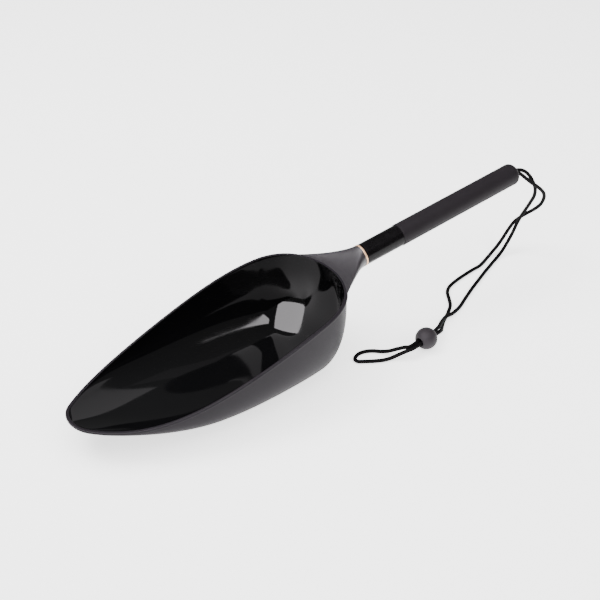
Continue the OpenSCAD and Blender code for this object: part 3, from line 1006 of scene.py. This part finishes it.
class SCOOP_OT_handle(bpy.types.Operator):
    """Makes the handle: tube, threaded insert, butt plug and grip"""

    bl_idname = "scoop.handle"
    bl_label = "Handle"

    def execute(self, context):
        s = settings().handle
        tube_r, bore, sleeve = s.tube_r / MM, (s.tube_r - s.tube_wall) / MM, s.sleeve_t / MM
        start = (s.ring_t / 2 + AIR) / MM
        end, butt = s.handle_l / MM, s.butt_round / MM
        seat = end - butt - sleeve - 6  # the tube's end, on the plug's shoulder
        edge = 0.3

        outline = [(bore, start)] + arc(tube_r - edge, start + edge, edge, -90, 0)
        outline += [(tube_r, seat), (bore, seat)]
        self.add("lacquered_tube", outline, lacquered_tube(), "handle_tube", "tube_gloss")

        thread, flare, back = 4, 0.5, start + 18
        outline = [(thread, start + flare), (thread + flare, start), (bore, start)]
        outline += [(bore, back), (thread, back)]
        self.add("nylon_insert", outline, moulded_nylon(), "handle_insert", "insert_nylon")

        hole, chamber, roof, foot = s.hole_r / MM, 7.2, end - 10, seat - 18
        outline = [(hole, roof), (chamber, roof), (chamber, foot), (bore, foot), (bore, seat)]
        outline += [(tube_r, seat)]
        outline += arc(tube_r - butt + sleeve, end - butt, butt - sleeve, 0, 90, 12)
        outline += arc(hole + edge, end - sleeve - edge, edge, 90, 180)
        self.add("nylon_plug", outline, moulded_nylon(), "butt_plug", "plug_plastic")

        bare, lip = s.bare_l / MM, sleeve / 2
        outer, mouth = tube_r + sleeve, hole + edge
        outline = [(tube_r, bare + lip)] + arc(outer - lip, bare + lip, lip, -180, 0)[1:]
        step = 4  # between rows along the straight part
        outline += [(outer, z) for z in range(round(bare) + step, round(end - butt), step)]
        outline += arc(outer - butt, end - butt, butt, 0, 90, 20)
        outline += [(mouth + lip, end)] + arc(mouth + lip, end - lip, lip, 90, 270)[1:]
        outline += arc(tube_r - butt + sleeve, end - butt, butt - sleeve, 90, 0, 12)
        self.add("rubber_grip", outline, shrink_rubber(), "grip_sleeve", "grip_rubber")
        return {"FINISHED"}

    def add(self, name, outline, material, node, slot):
        """One lathed piece of the handle."""
        piece = lathe(name, outline, material)
        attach(piece, "handle")
        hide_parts(node)


# The lamps, which gloss doesn't show: name, place, target, width, height, power in watts
LAMPS = [
    ("Key", (-0.6, 0.9, 1.5), (0, 0, 0), 1.2, 0.8, 30),
    ("Fill", (0.4, -1.4, 1.2), (0, 0, 0), 1.6, 1.0, 22),
    ("Top", (0, 0, 2.0), (0, 0, 0), 2.5, 2.5, 75),
]

# The softboxes, which only gloss shows: name, corners in metres, brightness
PANELS = [
    (
        "Left softbox",
        [
            (-0.93, -1.14, 0.22),
            (-1, 0.21, 0.15),
            (-0.87, 0.62, 0.27),
            (-0.51, 0.66, 0.63),
            (0.2, -0.06, 1.3),
        ],
        7.5,
    ),
    ("Front strip", [(0.155, -1.4, 1), (0.05, -0.7, 1), (0.21, -0.35, 1), (0.235, -0.52, 1)], 7),
    (
        "Right softbox",
        [(0.84, -0.19, 0.52), (0.51, 0.8, 0.52), (0.43, 0.71, 0.74), (0.72, -0.17, 0.74)],
        0.65,
    ),
    (
        "Back softbox",
        [(0.61, 0.52, 0.87), (0.36, 0.73, 0.87), (0.25, 0.53, 1.06), (0.44, 0.38, 1.06)],
        0.2,
    ),
]


class SCOOP_OT_studio(bpy.types.Operator):
    """Sets up the floor, the lamps, the softboxes and the world"""

    bl_idname = "scoop.studio"
    bl_label = "Studio"

    def execute(self, context):
        half = 30  # half the floor's side, in metres
        corners = [(-half, -half, 0), (half, -half, 0), (half, half, 0), (-half, half, 0)]
        sheet("Floor", corners, studio_floor())

        for name, spot, target, width, height, power in LAMPS:
            data = bpy.data.lights.new(name, "AREA")
            data.shape, data.size, data.size_y, data.energy = "RECTANGLE", width, height, power
            lamp = bpy.data.objects.new(name, data)
            context.scene.collection.objects.link(lamp)
            facing = (Vector(spot) - Vector(target)).to_track_quat("Z", "Y")
            lamp.matrix_world = Matrix.Translation(spot) @ facing.to_matrix().to_4x4()
            lamp.visible_glossy = False

        for name, corners, brightness in PANELS:
            panel = sheet(name, corners, softbox(name, brightness))
            panel.visible_camera = panel.visible_diffuse = panel.visible_shadow = False

        world = bpy.data.worlds.new("Studio")
        world.use_nodes = True
        tree = world.node_tree
        tree.nodes.clear()
        shade = put(tree, "ShaderNodeBackground", {"Color": (1, 1, 1, 1), "Strength": 0.12})
        put(tree, "ShaderNodeOutputWorld", {"Surface": shade.outputs[0]})
        context.scene.world = world
        return {"FINISHED"}


class SCOOP_PT_panel(bpy.types.Panel):
    """Lists the scoop's operators and sizes"""

    bl_idname = "SCOOP_PT_panel"
    bl_label = "Hand Scoop"
    bl_space_type = "VIEW_3D"
    bl_region_type = "UI"
    bl_category = "Scoop"

    def draw(self, context):
        for operator in STEPS:
            self.layout.operator(operator.bl_idname)
        for group in (settings().bowl, settings().handle, settings().lanyard, settings().colours):
            box = self.layout.box()
            for name in group.__annotations__:
                box.prop(group, name)


STEPS = [
    SCOOP_OT_camera,
    SCOOP_OT_lanyard,
    SCOOP_OT_bowl,
    SCOOP_OT_stud,
    SCOOP_OT_ring,
    SCOOP_OT_handle,
    SCOOP_OT_studio,
]
CLASSES = [
    ScoopBowlSizes,
    ScoopHandleSizes,
    ScoopLanyardSizes,
    ScoopColours,
    ScoopSettings,
    *STEPS,
    SCOOP_PT_panel,
]


def register():
    """Registers the classes and the scene's settings."""
    for cls in CLASSES:
        bpy.utils.register_class(cls)
    bpy.types.Scene.hand_scoop = PointerProperty(type=ScoopSettings)


def unregister():
    """Takes away what register added."""
    del bpy.types.Scene.hand_scoop
    for cls in reversed(CLASSES):
        bpy.utils.unregister_class(cls)


def main():
    """Makes every piece."""
    register()
    bpy.ops.scoop.camera()
    bpy.ops.scoop.lanyard()
    bpy.ops.scoop.bowl()
    bpy.ops.scoop.stud()
    bpy.ops.scoop.ring()
    bpy.ops.scoop.handle()
    bpy.ops.scoop.studio()


if __name__ == "__main__":
    main()
